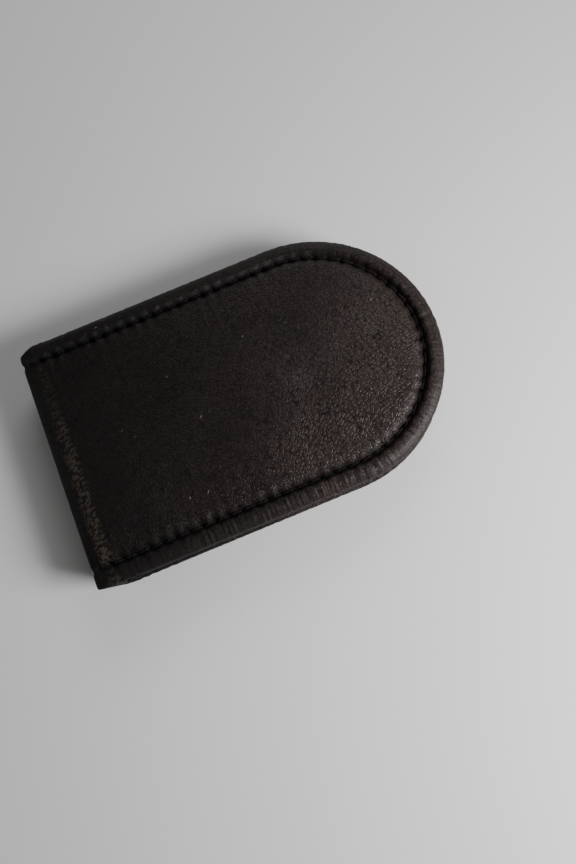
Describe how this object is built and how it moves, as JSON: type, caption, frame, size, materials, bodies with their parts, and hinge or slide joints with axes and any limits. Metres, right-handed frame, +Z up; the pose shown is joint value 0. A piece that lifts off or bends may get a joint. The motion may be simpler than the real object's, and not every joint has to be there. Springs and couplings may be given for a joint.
{
  "type": "magnetic leather money clip",
  "caption": "Slim magnetic money clip: padded leather flaps with round tips, stitched edges and a folded spine, opening flat like a book.",
  "frame": {"origin": "bottom centre of the closed clip, on the surface that it lies on", "axes": "+X from the fold to the round tips, +Y across the flaps, +Z up through the thickness, from the lower flap to the upper flap"},
  "size_m": [0.076, 0.049, 0.0106],
  "materials": {
    "cover_leather": "near-black soft nappa, fine pebbled grain, satin",
    "lining_leather": "near-black smooth nappa, satin",
    "sewing_thread": "black twisted polyester thread",
    "stiffener_board": "bonded leather fibre board, matt",
    "pad_foam": "grey closed-cell foam, matt",
    "magnet_plating": "bright nickel plating",
    "cloth_tape": "off-white woven cloth tape, matt"
  },
  "bodies": {
    "lower_flap": {"lower_cover": "cover_leather", "lower_lining": "lining_leather", "lower_board": "stiffener_board", "lower_magnets": "magnet_plating", "lower_magnet_tape": "cloth_tape", "lower_pad": "pad_foam", "lower_needle_stitches": "sewing_thread", "lower_bobbin_stitches": "sewing_thread"},
    "spine": {"spine_cover": "cover_leather", "spine_lining": "lining_leather", "spine_needle_stitches": "sewing_thread", "spine_bobbin_stitches": "sewing_thread"},
    "upper_flap": {"upper_cover": "cover_leather", "upper_lining": "lining_leather", "upper_board": "stiffener_board", "upper_magnets": "magnet_plating", "upper_magnet_tape": "cloth_tape", "upper_pad": "pad_foam", "upper_needle_stitches": "sewing_thread", "upper_bobbin_stitches": "sewing_thread"}
  },
  "joints": [
    {"name": "lower_crease", "type": "hinge", "parent": "lower_flap", "child": "spine", "pos_m": [-0.0341, 0, 0.0025], "axis": [0, -1, 0], "range_deg": [0, 61.82]},
    {"name": "upper_crease", "type": "hinge", "parent": "spine", "child": "upper_flap", "pos_m": [-0.0371, 0, 0.0081], "axis": [0, -1, 0], "range_deg": [0, 118.18]}
  ],
  "couplings": [
    {"joint": "upper_crease", "follows": "lower_crease", "ratio": 1.9116}
  ]
}
